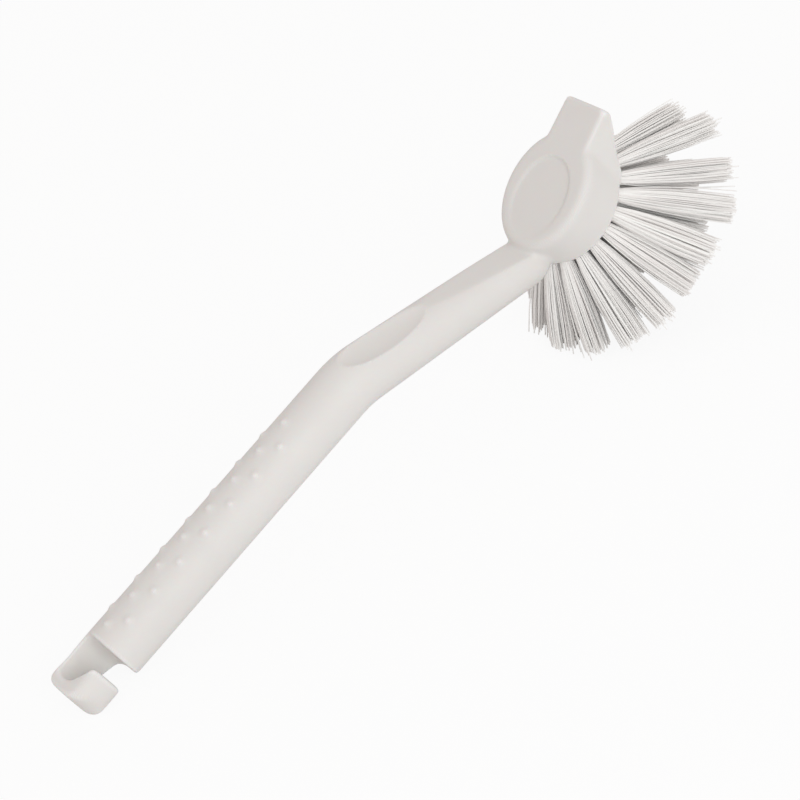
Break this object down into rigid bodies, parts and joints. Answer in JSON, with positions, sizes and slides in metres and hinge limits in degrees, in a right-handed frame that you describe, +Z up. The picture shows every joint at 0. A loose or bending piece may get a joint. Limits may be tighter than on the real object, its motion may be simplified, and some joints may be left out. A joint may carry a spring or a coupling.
{
  "type": "dish brush",
  "caption": "Dish brush with a bent round handle, side-opening hanging hook, raised grip dots, oval head with scraper nose and splayed bristle tufts.",
  "frame": {"origin": "bottom centre of the bounding box, on the floor the brush lies on", "axes": "+X from the hook end to the bristles, +Z up as the brush lies on its hook end and bristle tips, +Y to the left seen from the hook end"},
  "size_m": [0.296, 0.0816, 0.0849],
  "materials": {
    "body_plastic": "satin white moulded plastic",
    "bristle": "white synthetic filament",
    "anchor_wire": "plain flat steel wire"
  },
  "bodies": {
    "root": {"handle_body": "body_plastic", "tuft_outer_01": "bristle", "tuft_outer_02": "bristle", "tuft_outer_03": "bristle", "tuft_outer_04": "bristle", "tuft_outer_05": "bristle", "tuft_outer_06": "bristle", "tuft_outer_07": "bristle", "tuft_outer_08": "bristle", "tuft_outer_09": "bristle", "tuft_outer_10": "bristle", "tuft_outer_11": "bristle", "tuft_outer_12": "bristle", "tuft_outer_13": "bristle", "tuft_outer_14": "bristle", "tuft_outer_15": "bristle", "tuft_outer_16": "bristle", "tuft_outer_17": "bristle", "tuft_outer_18": "bristle", "tuft_middle_01": "bristle", "tuft_middle_02": "bristle", "tuft_middle_03": "bristle", "tuft_middle_04": "bristle", "tuft_middle_05": "bristle", "tuft_middle_06": "bristle", "tuft_middle_07": "bristle", "tuft_middle_08": "bristle", "tuft_middle_09": "bristle", "tuft_inner_01": "bristle", "tuft_inner_02": "bristle", "tuft_inner_03": "bristle", "tuft_inner_04": "bristle", "anchors_outer_ring": "anchor_wire", "anchors_middle_ring": "anchor_wire", "anchors_inner_ring": "anchor_wire"}
  },
  "joints": []
}
